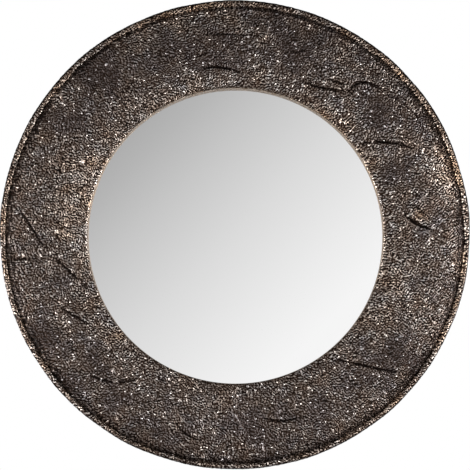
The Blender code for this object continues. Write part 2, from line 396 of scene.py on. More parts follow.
def block(
    shape: bmesh.types.BMesh, low: Vector, high: Vector, corner: float = 0.0, segments: int = 4
) -> None:
    """Adds a block with rounded upright corners, as seen from the wall.

    Args:
        shape: The shape that gets the block.
        low: Its lowest corner.
        high: Its highest corner.
        corner: Radius of the four corners.
        segments: Facets of each corner.
    """
    place = Matrix.Translation((low + high) / 2) @ Matrix.Diagonal((*(high - low), 1.0))
    made = bmesh.ops.create_cube(shape, size=1.0, matrix=place)["verts"]
    if corner > 0:
        deep = (high.y - low.y) / 2
        around = dict.fromkeys(edge for vertex in made for edge in vertex.link_edges)
        edges = [edge for edge in around if abs(edge.verts[0].co.y - edge.verts[1].co.y) > deep]
        bmesh.ops.bevel(
            shape,
            geom=edges,
            offset=corner,
            segments=segments,
            profile=0.5,
            affect="EDGES",
            material=-1,
        )


def smooth(obj: bpy.types.Object, sharp_degrees: float) -> None:
    """Shades a piece smooth, except at edges sharper than the angle."""
    obj.data.shade_smooth()
    obj.data.set_sharp_from_angle(angle=math.radians(sharp_degrees))


def settle(obj: bpy.types.Object, replaced: str) -> None:
    """Makes a piece part of the mirror.

    Args:
        obj: The piece.
        replaced: The CAD node that it stands for.
    """
    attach(obj, BODY)
    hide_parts(replaced)
    LOG.info("%s: %d faces, stands for %s", obj.name, len(obj.data.polygons), replaced)


@dataclass(frozen=True)
class BronzePatina:
    """Cast bronze with a dark brown chemical patina, rubbed back on its crests and lacquered.

    The hollows keep the nearly black sulphide. The crests show pale metal, golden where it is worn most,
    and the lacquer gives every small slope its own glint.
    """

    hollow: str = "#110702"
    shade: str = "#38281d"
    body: str = "#5e524c"
    worn: str = "#a0938b"
    crest: str = "#f8f0ea"
    gold: str = "#fff0e2"
    gilt: str = "#ffe3c6"
    slate: str = "#e4e6ee"
    bare: str = "#a58e76"
    warp_mm: float = 48.0
    warp_by_mm: float = 12.0
    crinkle_mm: float = 6.8
    crinkle_waves: float = 1.55
    lean_share: float = 0.3
    speck_mm: float = 2.3
    speck_share: float = 0.34
    crest_from: float = 0.44
    crest_to: float = 0.62
    crinkle_mean: float = 0.40
    strength_mm: float = 9.0
    spark_mm: float = 13.0
    spark_reach: float = 0.167
    spark_lot: float = 0.45
    grain_mm: float = 2.0
    cloud_mm: float = 34.0
    depth_mm: float = 0.6
    crinkle_share: float = 0.85
    grain_share: float = 0.12
    grain_in_bumps: float = 0.25
    wear_lift: float = 0.55
    wear_drop: float = 0.14
    # How far the painted shade darkens the colour.
    painted_shade_depth: float = 0.45
    wear_warmth: float = 0.35
    spark_height: float = 2.0
    weakest: float = 0.60

    def crinkle(self, tree: bpy.types.NodeTree, place: bpy.types.NodeSocket) -> bpy.types.NodeSocket:
        """The fine wrinkles between the modelled ones: thin wandering crests, strong here and faint there.

        Args:
            tree: The material's node tree.
            place: Object coordinates.

        Returns:
            The output that gives their height, from 0 to 1.
        """
        wander = add_node(
            tree, "TexNoise", {"Vector": place, "Scale": per_mm(self.warp_mm), "Detail": 3.0}
        ).node.outputs["Color"]
        centred = add_node(tree, "VectorMath", {0: wander, 1: (0.5, 0.5, 0.5)}, operation="SUBTRACT")
        bent = add_node(
            tree,
            "VectorMath",
            {0: centred, 1: (self.warp_by_mm * MM,) * 3, 2: place},
            operation="MULTIPLY_ADD",
        )
        apart = add_node(tree, "SeparateXYZ", {"Vector": bent}).node.outputs
        across = add_node(tree, "Math", {0: apart["X"], 1: apart["Y"]}, operation="ADD")
        flat = add_node(tree, "CombineXYZ", {"X": across, "Y": apart["Z"]})
        lean = add_node(tree, "Attribute", attribute_name="lean").node.outputs["Fac"]
        turned = add_node(tree, "Math", {0: lean, 1: math.pi / 2}, operation="ADD")
        waves = add_node(
            tree,
            "TexGabor",
            {
                "Vector": flat,
                "Scale": per_mm(self.crinkle_mm),
                "Frequency": self.crinkle_waves,
                "Anisotropy": self.lean_share,
                "Orientation 2D": turned,
            },
            gabor_type="2D",
        )
        speck = add_node(tree, "TexNoise", {"Vector": bent, "Scale": per_mm(self.speck_mm), "Detail": 0.0})
        both = add_node(tree, "Mix", {"Factor": self.speck_share, "A": waves, "B": speck})
        line = add_node(
            tree,
            "MapRange",
            {"Value": both, "From Min": self.crest_from, "From Max": self.crest_to},
            interpolation_type="SMOOTHSTEP",
        )
        varied = add_node(
            tree, "TexNoise", {"Vector": place, "Scale": per_mm(self.strength_mm), "Detail": 1.0}
        )
        strength = add_node(
            tree,
            "MapRange",
            {"Value": varied, "From Min": 0.38, "From Max": 0.62, "To Min": self.weakest, "To Max": 1.0},
        )
        wrinkled = add_node(
            tree, "Mix", {"Factor": strength, "A": self.crinkle_mean, "B": line}, clamp_factor=False
        )
        drop = add_node(
            tree, "TexVoronoi", {"Vector": flat, "Scale": per_mm(self.spark_mm)}, voronoi_dimensions="2D"
        ).node.outputs
        round_drop = add_node(
            tree,
            "MapRange",
            {
                "Value": drop["Distance"],
                "From Max": self.spark_reach,
                "To Min": self.spark_height,
                "To Max": 0.0,
            },
            interpolation_type="SMOOTHSTEP",
        )
        lot = add_node(tree, "SeparateColor", {"Color": drop["Color"]})
        present = add_node(tree, "Math", {0: lot, 1: self.spark_lot}, operation="LESS_THAN")
        spark = add_node(tree, "Math", {0: round_drop, 1: present}, operation="MULTIPLY")
        return add_node(tree, "Math", {0: wrinkled, 1: spark}, operation="MAXIMUM")

    def material(self) -> bpy.types.Material:
        """The finish as a material that reads the ring's relief, worn, painted shade, nugget, bare and
        lean; the painted shade darkens the colour.
        """
        made, tree, shader = new_material("lacquered_bronze_patina")
        place = add_node(tree, "TexCoord").node.outputs["Object"]
        relief, worn, painted_shade, nugget, bare = (
            add_node(tree, "Attribute", attribute_name=name).node.outputs["Fac"]
            for name in ("relief", "worn", "painted_shade", "nugget", "bare")
        )
        crinkle = self.crinkle(tree, place)
        grain = add_node(tree, "TexNoise", {"Vector": place, "Scale": per_mm(self.grain_mm), "Detail": 1.0})
        rough = add_node(tree, "Mix", {"Factor": self.crinkle_share, "A": relief, "B": crinkle})
        fine = add_node(tree, "Mix", {"Factor": self.grain_share, "A": rough, "B": grain})
        proud = add_node(
            tree, "Math", {0: crinkle, 1: self.wear_lift, 2: -self.wear_drop}, operation="MULTIPLY_ADD"
        )
        lifted = add_node(tree, "Math", {0: worn, 1: proud, 2: fine}, operation="MULTIPLY_ADD")
        # Painted shade: the ring's painted shade attribute lowers the height, so the colour darkens towards
        # the hollow tone in the creases, the groove, the cove and on the outer wall.
        shaded = add_node(
            tree, "Math", {0: painted_shade, 1: -self.painted_shade_depth, 2: lifted}, operation="MULTIPLY_ADD"
        )
        height = add_node(tree, "Math", {0: shaded, 1: nugget}, operation="MAXIMUM")
        # The low stops colour the patina's hollows and also the painted shade.
        tone = add_node(
            tree,
            "ValToRGB",
            {"Fac": height},
            stops=[
                (0.14, self.hollow),
                (0.28, self.shade),
                (0.46, self.body),
                (0.74, self.worn),
                (0.98, self.crest),
            ],
        )
        cloud = add_node(tree, "TexNoise", {"Vector": place, "Scale": per_mm(self.cloud_mm), "Detail": 3.0})
        warmth = add_node(tree, "Math", {0: worn, 1: self.wear_warmth, 2: cloud}, operation="MULTIPLY_ADD")
        tint = add_node(
            tree,
            "ValToRGB",
            {"Fac": warmth},
            stops=[(0.36, self.slate), (0.50, "#ffffff"), (0.76, self.gold), (0.94, self.gilt)],
        )
        tinted = add_node(
            tree, "Mix", {"Factor": 1.0, "A": tone, "B": tint}, data_type="RGBA", blend_type="MULTIPLY"
        )
        rubbed = add_node(
            tree, "Mix", {"Factor": bare, "A": tinted, "B": linear(self.bare)}, data_type="RGBA"
        )
        roughness = add_node(
            tree,
            "MapRange",
            {"Value": height, "From Min": 0.2, "From Max": 0.8, "To Min": 0.52, "To Max": 0.28},
        )
        rippled = add_node(tree, "Mix", {"Factor": self.grain_in_bumps, "A": crinkle, "B": grain})
        bumps = add_node(tree, "Math", {0: rippled, 1: nugget}, operation="ADD")
        normal = add_node(tree, "Bump", {"Height": bumps, "Distance": self.depth_mm * MM, "Strength": 0.9})
        feed(shader, {"Base Color": rubbed, "Roughness": roughness, "Normal": normal, "Metallic": 0.9})
        feed(shader, {"Coat Weight": 0.1, "Coat Roughness": 0.22})
        return made


@dataclass(frozen=True)
class CastBack:
    """The same casting as it left the sand, painted matt brown-black: grainy, with no shine of its own."""

    dark: str = "#1f1a17"
    light: str = "#3a322c"
    sand_mm: float = 1.6
    stain_mm: float = 38.0
    depth_mm: float = 0.25

    def material(self) -> bpy.types.Material:
        """The finish as a material."""
        made, tree, shader = new_material("sand_cast_back_brown_black")
        place = add_node(tree, "TexCoord").node.outputs["Object"]
        stain = add_node(tree, "TexNoise", {"Vector": place, "Scale": per_mm(self.stain_mm), "Detail": 4.0})
        sand = add_node(tree, "TexNoise", {"Vector": place, "Scale": per_mm(self.sand_mm), "Detail": 2.0})
        both = add_node(tree, "Mix", {"Factor": 0.4, "A": stain, "B": sand})
        colour = add_node(tree, "ValToRGB", {"Fac": both}, stops=[(0.35, self.dark), (0.65, self.light)])
        normal = add_node(tree, "Bump", {"Height": sand, "Distance": self.depth_mm * MM, "Strength": 0.6})
        feed(shader, {"Base Color": colour, "Normal": normal, "Roughness": 0.7})
        return made


@dataclass(frozen=True)
class SilveredGlass:
    """Float glass, silvered behind: a true, neutral mirror with the faint haze that a dry wipe leaves."""

    silver: str = "#fafafa"
    haze_mm: float = 60.0

    def material(self) -> bpy.types.Material:
        """The finish as a material."""
        made, tree, shader = new_material("silvered_float_glass")
        place = add_node(tree, "TexCoord").node.outputs["Object"]
        haze = add_node(tree, "TexNoise", {"Vector": place, "Scale": per_mm(self.haze_mm), "Detail": 5.0})
        roughness = add_node(
            tree, "MapRange", {"Value": haze, "From Min": 0.4, "From Max": 0.8, "To Max": 0.03}
        )
        feed(shader, {"Base Color": linear(self.silver), "Roughness": roughness, "Metallic": 1.0})
        return made


@dataclass(frozen=True)
class Hardboard:
    """Hot-pressed wood fibre, smooth side out: warm brown, with darker fibre flecks and a dull sheen."""

    dark: str = "#5f4330"
    light: str = "#8d6a4c"
    fibre_mm: float = 2.2
    mottle_mm: float = 55.0
    depth_mm: float = 0.12

    def material(self) -> bpy.types.Material:
        """The finish as a material."""
        made, tree, shader = new_material("pressed_hardboard")
        place = add_node(tree, "TexCoord").node.outputs["Object"]
        fibre = add_node(
            tree,
            "TexNoise",
            {"Vector": place, "Scale": per_mm(self.fibre_mm), "Detail": 3.0, "Distortion": 1.4},
        )
        mottle = add_node(
            tree, "TexNoise", {"Vector": place, "Scale": per_mm(self.mottle_mm), "Detail": 3.0}
        )
        both = add_node(tree, "Mix", {"Factor": 0.45, "A": fibre, "B": mottle})
        colour = add_node(tree, "ValToRGB", {"Fac": both}, stops=[(0.35, self.dark), (0.62, self.light)])
        normal = add_node(tree, "Bump", {"Height": fibre, "Distance": self.depth_mm * MM, "Strength": 0.5})
        feed(shader, {"Base Color": colour, "Normal": normal, "Roughness": 0.55})
        return made


@dataclass(frozen=True)
class ZincPlate:
    """Pressed steel with bright zinc plating: cool grey, with rolled grain and a faint cloudiness."""

    dull: str = "#8f9194"
    bright: str = "#c9cbce"
    grain_mm: float = 0.9
    grain_stretch: float = 18.0
    cloud_mm: float = 9.0
    depth_mm: float = 0.03

    def material(self) -> bpy.types.Material:
        """The finish as a material."""
        made, tree, shader = new_material("bright_zinc_plated_steel")
        place = add_node(tree, "TexCoord").node.outputs["Object"]
        along = add_node(tree, "Mapping", {"Vector": place, "Scale": (1 / self.grain_stretch, 1.0, 1.0)})
        grain = add_node(tree, "TexNoise", {"Vector": along, "Scale": per_mm(self.grain_mm), "Detail": 2.0})
        cloud = add_node(tree, "TexNoise", {"Vector": place, "Scale": per_mm(self.cloud_mm), "Detail": 3.0})
        roughness = add_node(tree, "MapRange", {"Value": cloud, "To Min": 0.24, "To Max": 0.46})
        colour = add_node(tree, "ValToRGB", {"Fac": grain}, stops=[(0.3, self.dull), (0.7, self.bright)])
        normal = add_node(tree, "Bump", {"Height": grain, "Distance": self.depth_mm * MM, "Strength": 0.4})
        feed(shader, {"Base Color": colour, "Roughness": roughness, "Normal": normal, "Metallic": 1.0})
        return made


def search_tree(places: list[tuple[float, float, int]]) -> kdtree.KDTree:
    """Sorts places on the face, each with the number of what lies there, into a search tree."""
    tree = kdtree.KDTree(len(places))
    for right, up, number in places:
        tree.insert((right, up, 0.0), number)
    tree.balance()
    return tree


@dataclass
class FaceRelief:
    """All that has a place of its own on the face: creases, threads and nuggets."""

    nuggets: list[Nugget]
    fold_reach: float = 14.0
    nugget_reach: float = 8.0
    bright_from: float = 0.3
    bright_gain: float = 1.2

    def __post_init__(self) -> None:
        """Sorts the creases, threads and nuggets by place."""
        self.folds = [(crease, crease.points()) for crease in CREASES + THREADS]
        bows = [(p.x, p.y, number) for number, (_, points) in enumerate(self.folds) for p in points]
        self.fold_tree = search_tree(bows)
        self.nugget_tree = search_tree([(n.right, n.up, number) for number, n in enumerate(self.nuggets)])

    def at(self, spot: Vector) -> tuple[float, float]:
        """What they do to the face at a spot.

        Args:
            spot: The spot in millimetres.

        Returns:
            Their rise in millimetres, less than zero in a crease, and the share of bright metal, up to 1.
        """
        rise = 0.0
        for number in {n for _, n, _ in self.fold_tree.find_range(spot, self.fold_reach)}:
            crease, points = self.folds[number]
            rise += crease.rise(spot.xy, points)
        bright = min(1.0, max(0.0, self.bright_gain * (rise - self.bright_from)))
        for _, number, _ in self.nugget_tree.find_range(spot, self.nugget_reach):
            nugget = self.nuggets[number]
            share = nugget.share(spot.xy)
            rise += nugget.height * share
            bright = max(bright, share)
        return rise, bright


@dataclass
class CastRing:
    """The cast ring: its flat back, rebates, sight edge, wrinkled face, groove and beaded rim.

    The radii, heights and swells are the solid's own. The wrinkles are fine relief on top of them.
    """

    outer_radius: float = 0.400
    sight_radius: float = 0.2519
    bead_width: float = 0.011
    groove_width: float = 0.0055
    lip_width: float = 0.0035
    bead_height: float = 0.0290
    groove_height: float = 0.0245
    field_edge_height: float = 0.0285
    field_rim_height: float = 0.0300
    field_crown_height: float = 0.0340
    lip_height: float = 0.0245
    undercut_height: float = 0.0100
    undercut_depth: float = 0.004
    glass_rebate_radius: float = 0.2635
    glass_rebate_floor: float = 0.0086
    board_rebate_radius: float = 0.2915
    board_rebate_floor: float = 0.0043

    broad_swell: float = 0.0008
    broad_swell_spacing: float = 0.085
    short_swell: float = 0.0006
    short_swell_spacing: float = 0.036
    rim_waver: float = 0.0012
    rim_waver_spacing: float = 0.070
    sight_shift: Vector = Vector((0.00135, 0.0, -0.0035))

    wrinkle_spacing: float = 3.4
    wrinkle_depth: float = 0.7
    wrinkle_bend: float = 0.7
    wrinkle_seed: int = 7
    bump_middle: float = 0.45
    bump_gain: float = 1.5
    lump_gain: float = 0.9
    lump_share: float = 0.15
    edge_waver: float = 1.8
    edge_waver_spacing: float = 11.0
    edge_drift: float = 1.8
    edge_drift_spacing: float = 42.0
    edge_drop: float = 1.3
    lump_spacing: float = 12.0
    tallest: float = 0.9
    bright_height: float = 1.15
    sight_wear: float = 0.25
    sight_wear_reach: float = 30.0
    least_wear: float = -0.7
    # Painted shade: wall_shade darkens the outer wall towards the top, groove_light lightens the groove's
    # painted shade towards the top, the crease term darkens the creases, and the cove terms paint a band of
    # shade inside the groove, darkest at the sides.
    wall_shade: float = 1.3
    groove_light: float = 0.7
    crease_shade: float = 0.9
    cove_width: float = 0.0045
    cove_shift: float = -0.0008
    cove_shade: float = 0.3
    cove_least: float = 0.35
    cove_sideways: float = 1.6
    groove_fill: float = 0.0018
    groove_fill_spacing: float = 16.0
    top_fill: float = 1.6
    bottom_fill: float = -0.3
    lean_waver: float = 30.0
    lean_spacing: float = 40.0
    cloud_spacing: float = 30.0
    cloud_share: float = 0.35
    nugget_count: int = 320
    nugget_seed: int = 11
    short_nuggets: tuple[float, float] = (3.5, 7.0)
    long_nuggets: tuple[float, float] = (7.0, 15.0)
    nugget_widths: tuple[float, float] = (2.2, 3.1)
    nugget_heights: tuple[float, float] = (0.4, 0.8)
    nugget_sway: float = 0.8
    nugget_odds: float = 0.35
    worn_nugget_odds: float = 1.1

    turns: int = 1008
    doublings: int = 3
    face_rings: int = 67
    bead_rings: int = 11
    shaded_bead_rings: int = 4
    wall_rings: int = 3
    groove_rings: int = 2
    lip_rings: int = 3
    near: float = 0.0001

    fit_gap: float = 0.0003
    cut_through: float = 0.002
    plate_corner: float = 0.006
    pocket_depth: float = 0.010
    pocket_half_width: float = 0.00925
    pocket_half_height: float = 0.01625
    pocket_corner: float = 0.004
    bore_radius: float = 0.00205
    bore_sides: int = 24
    sharp_degrees: float = 50

    @property
    def face_outer_radius(self) -> float:
        """Where the face ends and the groove begins."""
        return self.outer_radius - self.bead_width - self.groove_width

    @property
    def face_inner_radius(self) -> float:
        """Where the face ends and the lip begins."""
        return self.sight_radius + self.lip_width

    def face_height(self, radius: float) -> float:
        """Height of the swelling face before it is wrinkled."""
        middle = (self.face_outer_radius + self.face_inner_radius) / 2
        share = (radius - middle) / (self.face_outer_radius - middle)
        edge_height = self.field_edge_height if share < 0 else self.field_rim_height
        return edge_height + (self.field_crown_height - edge_height) * (1 - abs(share) ** 3)

    def section(self) -> Iterator[tuple[float, float, Zone]]:
        """The ring's section, from the outer back corner round over the face.

        Returns:
            Radius, height and zone of each point, in order.
        """
        yield self.outer_radius - self.undercut_depth, 0.0, Zone.BACK
        wall_height = self.groove_height - self.undercut_height
        for step in range(self.wall_rings):
            yield self.outer_radius, self.undercut_height + wall_height * step / self.wall_rings, Zone.WALL
        for step in range(self.bead_rings):
            turn = math.pi * step / self.bead_rings
            radius = self.outer_radius - self.bead_width / 2 * (1 - math.cos(turn))
            height = self.groove_height + (self.bead_height - self.groove_height) * math.sin(turn)
            # The bead's outer rings take the wall's treatment, and with it the wall's painted shade, darker
            # towards the top.
            yield radius, height, Zone.WALL if step < self.shaded_bead_rings else Zone.BEAD
        for step in range(self.groove_rings):
            share = step / self.groove_rings
            radius = self.outer_radius - self.bead_width - self.groove_width * share
            height = self.groove_height + (self.field_rim_height - self.groove_height) * share
            yield radius, height, Zone.GROOVE
        for ring in range(self.face_rings + 1):
            share = ring / self.face_rings
            radius = self.face_outer_radius + (self.face_inner_radius - self.face_outer_radius) * share
            yield radius, self.face_height(radius), Zone.FACE
        for step in range(1, self.lip_rings + 1):
            turn = math.pi / 2 * step / self.lip_rings
            radius = self.face_inner_radius - self.lip_width * math.sin(turn)
            height = self.lip_height + (self.field_edge_height - self.lip_height) * math.cos(turn)
            yield radius, height, Zone.LIP
        yield self.sight_radius, self.lip_height - self.near, Zone.SIGHT
        yield self.sight_radius, self.glass_rebate_floor, Zone.SIGHT
        yield self.glass_rebate_radius, self.glass_rebate_floor, Zone.BACK
        yield self.glass_rebate_radius, self.board_rebate_floor, Zone.BACK
        yield self.board_rebate_radius, self.board_rebate_floor, Zone.BACK
        yield self.board_rebate_radius, 0.0, Zone.BACK

    def turned(self) -> bmesh.types.BMesh:
        """Turns the section into the closed ring: a sector of it, and then its doublings."""
        shape = bmesh.new()
        zone = shape.verts.layers.int.new("zone")
        points = []
        for radius, height, part in self.section():
            points.append(shape.verts.new((radius, -height, 0.0)))
            points[-1][zone] = part.value
        edges = [shape.edges.new(pair) for pair in zip(points, points[1:] + points[:1])]
        sectors = 2**self.doublings
        turn = math.tau / sectors
        bmesh.ops.spin(
            shape,
            geom=points + edges,
            cent=ORIGIN,
            axis=(0.0, 1.0, 0.0),
            angle=turn,
            steps=self.turns // sectors,
            use_merge=False,
        )
        for _ in range(self.doublings):
            copies = bmesh.ops.duplicate(
                shape, geom=shape.verts[:] + shape.edges[:] + shape.faces[:]
            )["geom"]
            moved = [g for g in copies if isinstance(g, bmesh.types.BMVert)]
            bmesh.ops.rotate(shape, verts=moved, cent=ORIGIN, matrix=Matrix.Rotation(turn, 3, "Y"))
            turn *= 2
        bmesh.ops.remove_doubles(shape, verts=shape.verts, dist=self.near / 10)
        bmesh.ops.recalc_face_normals(shape, faces=shape.faces)
        return shape

    def swell(self, place: Vector) -> float:
        """How far the face rises or falls at a place on it, as the solid's does."""
        broad = noise.noise(place / self.broad_swell_spacing)
        short = noise.noise(place / self.short_swell_spacing)
        return self.broad_swell * broad + self.short_swell * short

    def waver(self, place: Vector) -> float:
        """How far the rim moves out or in at a place on it, as the solid's does."""
        return self.rim_waver * noise.noise(place / self.rim_waver_spacing)

    def groove_waver(self, spot: Vector) -> float:
        """How far the groove wanders out or in at a spot in millimetres, nearer the rim at the bottom."""
        short = self.edge_waver * noise.noise(spot / self.edge_waver_spacing)
        long = self.edge_drift * noise.noise(spot / self.edge_drift_spacing)
        return (short + long - self.edge_drop * spot.y / spot.length) * MM

    def lean(self, spot: Vector) -> float:
        """Which way the wrinkles run at a spot in millimetres, in radians up from level."""
        turn = math.atan2(spot.y, spot.x) % math.tau / math.tau * len(LEANS)
        share = turn % 1.0
        share *= share * (3 - 2 * share)
        degrees = LEANS[int(turn) % len(LEANS)] * (1 - share) + LEANS[(int(turn) + 1) % len(LEANS)] * share
        return math.radians(degrees + self.lean_waver * noise.noise(spot / self.lean_spacing))

    def wrinkle(self, spot: Vector) -> float:
        """Height of the wrinkles at a spot in millimetres, from 0 in their hollows to 1 on their crests."""
        bend = noise.noise_vector(spot / (2 * self.wrinkle_spacing))
        bent = spot / self.wrinkle_spacing + self.wrinkle_bend * bend
        bump = self.bump_middle + self.bump_gain * noise.noise(bent)
        lump = 0.5 + self.lump_gain * noise.noise(spot / self.lump_spacing)
        return max(0.0, min(1.0, (1 - self.lump_share) * bump + self.lump_share * lump))

    def scattered_nuggets(self) -> list[Nugget]:
        """The marked nuggets, and small ones strewn over the face by chance, more where it is worn."""
        chance = random.Random(self.nugget_seed)
        nuggets = list(MARKED_NUGGETS)
        while len(nuggets) < self.nugget_count:
            radius = math.sqrt(chance.uniform(self.face_inner_radius**2, self.face_outer_radius**2)) / MM
            turn = chance.uniform(0.0, math.tau)
            place = Vector((radius * math.cos(turn), radius * math.sin(turn)))
            length = chance.uniform(*(self.short_nuggets if chance.random() < 0.5 else self.long_nuggets))
            width = chance.uniform(*self.nugget_widths)
            turn = self.lean(place.to_3d()) + chance.uniform(-self.nugget_sway, self.nugget_sway)
            nugget = Nugget(place.x, place.y, length, width, turn, chance.uniform(*self.nugget_heights))
            if chance.random() < self.nugget_odds + self.worn_nugget_odds * self.wear(place):
                nuggets.append(nugget)
        return nuggets

    def wear(self, place: Vector) -> float:
        """How far the patina is rubbed back at a place, less than zero where it is spared."""
        from_sight = (place.length - self.sight_radius / MM) / self.sight_wear_reach
        edge = self.sight_wear * math.exp(-(from_sight**2))
        return max(self.least_wear, min(1.0, edge + sum(area.share(place) for area in WEAR)))

    def shift(self, part: Zone, place: Vector) -> Vector:
        """How far a place moves with the ring's swell, the rim's waver and the part-filled groove.

        Args:
            part: The place's zone.
            place: The place, right and up of the centre.

        Returns:
            The move.
        """
        radius = place.length
        outward = Vector((place.x, 0.0, place.y)) / radius
        up = outward.z
        spot = place / MM
        moved = Vector((0.0, 0.0, 0.0))
        if part in (Zone.BEAD, Zone.GROOVE, Zone.FACE, Zone.LIP):
            moved.y -= self.swell(place)
        if part in (Zone.WALL, Zone.BEAD, Zone.GROOVE):
            moved += outward * self.waver(place)
        if part in (Zone.FACE, Zone.LIP, Zone.SIGHT):
            share = (self.face_outer_radius - radius) / (self.face_outer_radius - self.sight_radius)
            moved += self.sight_shift * max(0.0, min(1.0, share)) ** 2
        from_groove = abs(radius - self.face_outer_radius - self.groove_width / 2)
        by_groove = math.exp(-((from_groove / self.groove_width) ** 2))
        moved += outward * (self.groove_waver(spot) * by_groove)
        if part in (Zone.BEAD, Zone.GROOVE, Zone.FACE):
            leaning = (self.top_fill if up > 0 else self.bottom_fill) * up
            filled = leaning + noise.noise(spot / self.groove_fill_spacing)
            moved.y -= self.groove_fill * filled * by_groove
        return moved

    def painted_shade_share(self, part: Zone, radius: float, up: float) -> float:
        """How much painted shade a place gets, apart from that in the creases.

        Args:
            part: The place's zone.
            radius: Its distance from the centre.
            up: How far up the ring it lies, from -1 at the bottom to 1 at the top.

        Returns:
            The share of grime.
        """
        # Painted shade: the outer wall darker towards the top, the groove lighter towards the top, and a
        # band inside the groove darker at the sides.
        lit = self.wall_shade * up if part == Zone.WALL else -self.groove_light * max(0.0, up)
        painted_shade_share = TREATMENTS[part].painted_shade * (1.0 + lit)
        if part in (Zone.FACE, Zone.GROOVE):
            from_cove = (self.face_outer_radius + self.cove_shift - radius) / self.cove_width
            sideways = self.cove_least + self.cove_sideways * (1.0 - up * up)
            painted_shade_share += self.cove_shade * sideways * math.exp(-(from_cove**2))
        return painted_shade_share

    def work(self, shape: bmesh.types.BMesh) -> None:
        """Makes the turned ring uneven and wrinkled, and writes the attributes that its finish reads."""
        zone = shape.verts.layers.int["zone"]
        relief, worn, painted_shade, drop, bare, lean = (
            shape.verts.layers.float.new(name)
            for name in ("relief", "worn", "painted_shade", "nugget", "bare", "lean")
        )
        noise.seed_set(self.wrinkle_seed)
        cast = FaceRelief(self.scattered_nuggets())
        shape.normal_update()
        low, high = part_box("frame")

        for vertex in shape.verts:
            part = Zone(vertex[zone])
            treatment = TREATMENTS[part]
            place = Vector((vertex.co.x, vertex.co.z, 0.0))
            spot = place / MM
            moved = self.shift(part, place)
            crest = self.wrinkle(spot + Vector((0.0, 0.0, -vertex.co.y / MM)))
            rise, bright = cast.at(spot) if part == Zone.FACE else (0.0, 0.0)
            clouds = 1.0 + self.cloud_share * noise.noise(spot / self.cloud_spacing)
            depth = treatment.wrinkle * (self.wrinkle_depth * clouds)
            moved -= vertex.normal * (depth * (1 - crest) * MM)
            moved.y -= min(rise, self.tallest) * MM
            vertex[relief] = crest
            vertex[worn] = self.wear(spot.xy) + treatment.rubbed
            # Painted shade: the zone's share, and more in the creases where shade falls.
            shaded = self.painted_shade_share(part, place.length, (place / place.length).y)
            vertex[painted_shade] = shaded + self.crease_shade * max(0.0, -rise)
            vertex[drop] = self.bright_height * math.sqrt(bright)
            vertex[bare] = treatment.bare
            vertex[lean] = self.lean(spot)
            vertex.co = [min(max(at, least), most) for at, least, most in zip(vertex.co + moved, low, high)]

    def cutters(self) -> list[bpy.types.Object]:
        """What is cut from the back: the hanger's recess, then the pocket behind it and the screw bores."""
        low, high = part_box("keyhole_plate")
        gap = Vector((self.fit_gap, self.fit_gap, self.fit_gap))
        recess = bmesh.new()
        block(
            recess,
            low - gap,
            Vector((high.x, self.cut_through, high.z)) + gap,
            self.plate_corner + self.fit_gap,
        )
        holes = bmesh.new()
        middle = (low + high) / 2
        half = Vector((self.pocket_half_width, 0.0, self.pocket_half_height))
        pocket_low = Vector((middle.x, low.y - self.pocket_depth, middle.z)) - half
        pocket_high = Vector((middle.x, self.cut_through, middle.z)) + half
        block(holes, pocket_low, pocket_high, self.pocket_corner)
        for node in (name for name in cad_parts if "screw" in name):
            low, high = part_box(node)
            deep = self.cut_through - low.y + self.fit_gap
            centre = Vector(((low.x + high.x) / 2, self.cut_through - deep / 2, (low.z + high.z) / 2))
            bmesh.ops.create_cone(
                holes,
                cap_ends=True,
                segments=self.bore_sides,
                radius1=self.bore_radius,
                radius2=self.bore_radius,
                depth=deep,
                matrix=Matrix.Translation(centre) @ TURN_TO_Y,
            )
        return [to_object("hanger_recess", recess), to_object("pocket_and_bores", holes)]

    def build(self) -> None:
        """Builds the ring and cuts its back."""
        shape = self.turned()
        self.work(shape)
        for face in shape.faces:
            face.material_index = 1 if face.calc_center_median().y > -self.near else 0
        ring = to_object("cast_ring", shape, BronzePatina().material(), CastBack().material())
        carve(ring, self.cutters())
        smooth(ring, self.sharp_degrees)
        settle(ring, "frame")


@dataclass
class SilveredPane:
    """The flat mirror glass, with its ground arris."""

    arris: float = 0.0006
    sides: int = 256
    sharp_degrees: float = 30

    def build(self) -> None:
        """Builds the pane where its CAD node lies."""
        low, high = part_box("mirror_glass")
        radius = (high.x - low.x) / 2
        shape = bmesh.new()
        bmesh.ops.create_cone(
            shape,
            cap_ends=True,
            segments=self.sides,
            radius1=radius,
            radius2=radius,
            depth=high.y - low.y,
            matrix=Matrix.Translation((0.0, (low.y + high.y) / 2, 0.0)) @ TURN_TO_Y,
        )
        rims = [e for e in shape.edges if abs(e.verts[0].co.y - e.verts[1].co.y) < self.arris]
        bmesh.ops.bevel(
            shape, geom=rims, offset=self.arris, segments=1, profile=0.5, affect="EDGES", material=-1
        )
        pane = to_object("silvered_pane", shape, SilveredGlass().material())
        smooth(pane, self.sharp_degrees)
        settle(pane, "mirror_glass")


